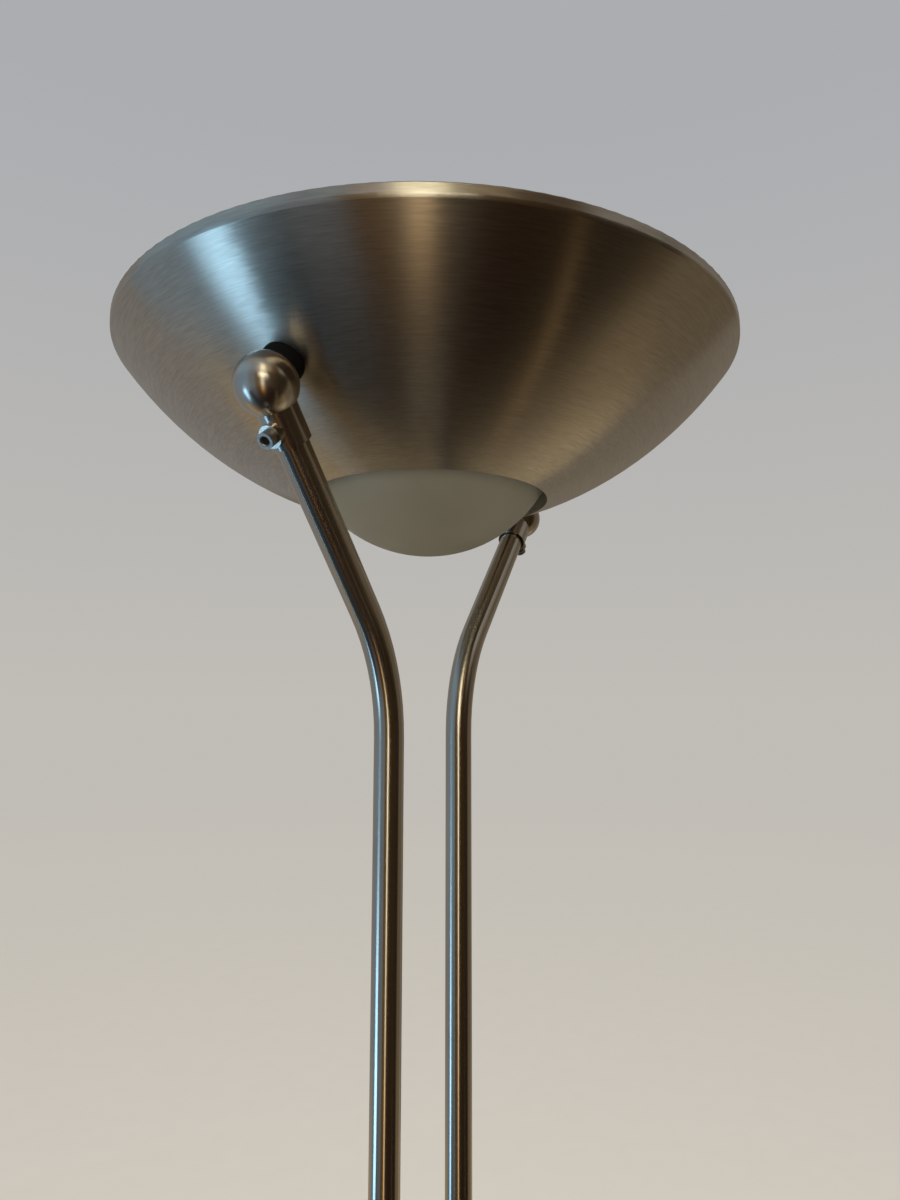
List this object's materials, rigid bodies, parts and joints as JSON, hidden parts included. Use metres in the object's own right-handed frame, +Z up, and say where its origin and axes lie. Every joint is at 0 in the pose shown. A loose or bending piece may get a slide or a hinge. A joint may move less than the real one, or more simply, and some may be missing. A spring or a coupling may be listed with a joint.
{
  "type": "torchiere floor lamp",
  "caption": "Uplighter floor lamp: shallow brushed steel bowl with a frosted glass dome, held by two bent poles on a round weighted base.",
  "frame": {"origin": "centre of the underside of the base, on the floor", "axes": "+Z up along the poles to the bowl, the two poles stand in the XZ plane, the dimmer knob faces -Y"},
  "size_m": [0.28, 0.28, 1.8],
  "materials": {
    "brushed_steel_bowl": "fine circumferential brushing",
    "satin_steel": "satin drawn tube",
    "black_rubber": "matte black",
    "opal_glass": "satin frosted opal",
    "clear_glass": "clear",
    "quartz": "clear quartz",
    "ceramic_white": "fired steatite",
    "zinc_steel": "zinc plated",
    "brass_nickel": "turned brass",
    "cast_iron_weight": "raw casting",
    "black_pad": "foam pad",
    "black_plastic": "fine texture",
    "knob_plastic": "metallised satin",
    "board_laminate": "phenolic board",
    "component_plastic": "moulded",
    "copper_winding": "enamelled wire",
    "capacitor_red": "dipped",
    "lead_sleeve": "silicone sleeve",
    "mains_sleeve": "pvc",
    "tungsten": "wire"
  },
  "bodies": {
    "lamp_stand": {"base_cover": "brushed_steel_bowl", "base_pad": "black_pad", "base_weight": "cast_iron_weight", "board_screws": "zinc_steel", "contact_left": "brass_nickel", "contact_spring": "zinc_steel", "cord_inlet": "black_plastic", "cord_inlet_nut": "black_plastic", "cover_glass": "clear_glass", "cover_glass_clips": "zinc_steel", "diffuser_clips": "zinc_steel", "diffuser_dome": "opal_glass", "diffuser_seal": "black_rubber", "dimmer_board": "board_laminate", "dimmer_capacitor": "capacitor_red", "dimmer_choke": "copper_winding", "dimmer_front": "black_plastic", "dimmer_rear": "black_plastic", "dimmer_screws": "zinc_steel", "dimmer_triac": "component_plastic", "grub_screws": "zinc_steel", "holder_leads": "lead_sleeve", "holder_screws": "zinc_steel", "knuckle_left": "satin_steel", "knuckle_right": "satin_steel", "knuckle_spacer_left": "black_rubber", "knuckle_spacer_right": "black_rubber", "lamp_bracket": "zinc_steel", "lamp_caps": "ceramic_white", "lamp_filament": "tungsten", "lamp_lead": "lead_sleeve", "lamp_tube": "quartz", "lampholder_left": "ceramic_white", "lampholder_right": "ceramic_white", "lower_pole_left": "satin_steel", "lower_pole_right": "satin_steel", "mains_lead": "mains_sleeve", "middle_pole_left": "satin_steel", "middle_pole_right": "satin_steel", "nipple_left": "brass_nickel", "nipple_nuts": "brass_nickel", "nipple_right": "brass_nickel", "pole_flanges": "satin_steel", "pole_joiners_lower": "satin_steel", "pole_joiners_upper": "satin_steel", "pole_nuts": "zinc_steel", "pole_studs": "zinc_steel", "pole_washers": "zinc_steel", "potentiometer": "component_plastic", "potentiometer_nut": "zinc_steel", "saddle_washers": "zinc_steel", "shade_bowl": "brushed_steel_bowl", "terminal_block": "ceramic_white", "terminal_screws": "brass_nickel", "upper_pole_left": "satin_steel", "upper_pole_right": "satin_steel"},
    "dimmer_knob": {"dimmer_knob": "knob_plastic", "knob_shaft": "zinc_steel"},
    "lamp_contact": {"contact_plunger": "brass_nickel"}
  },
  "joints": [
    {"name": "dimmer_turn", "type": "hinge", "parent": "lamp_stand", "child": "dimmer_knob", "pos_m": [0, -0.02, 1.08], "axis": [0, 1, 0], "range_deg": [0, 270]},
    {"name": "contact_press", "type": "slide", "parent": "lamp_stand", "child": "lamp_contact", "axis": [1, 0, 0], "range_m": [0, 0.002], "stiffness_N_per_m": 900, "springref_m": -0.003}
  ]
}
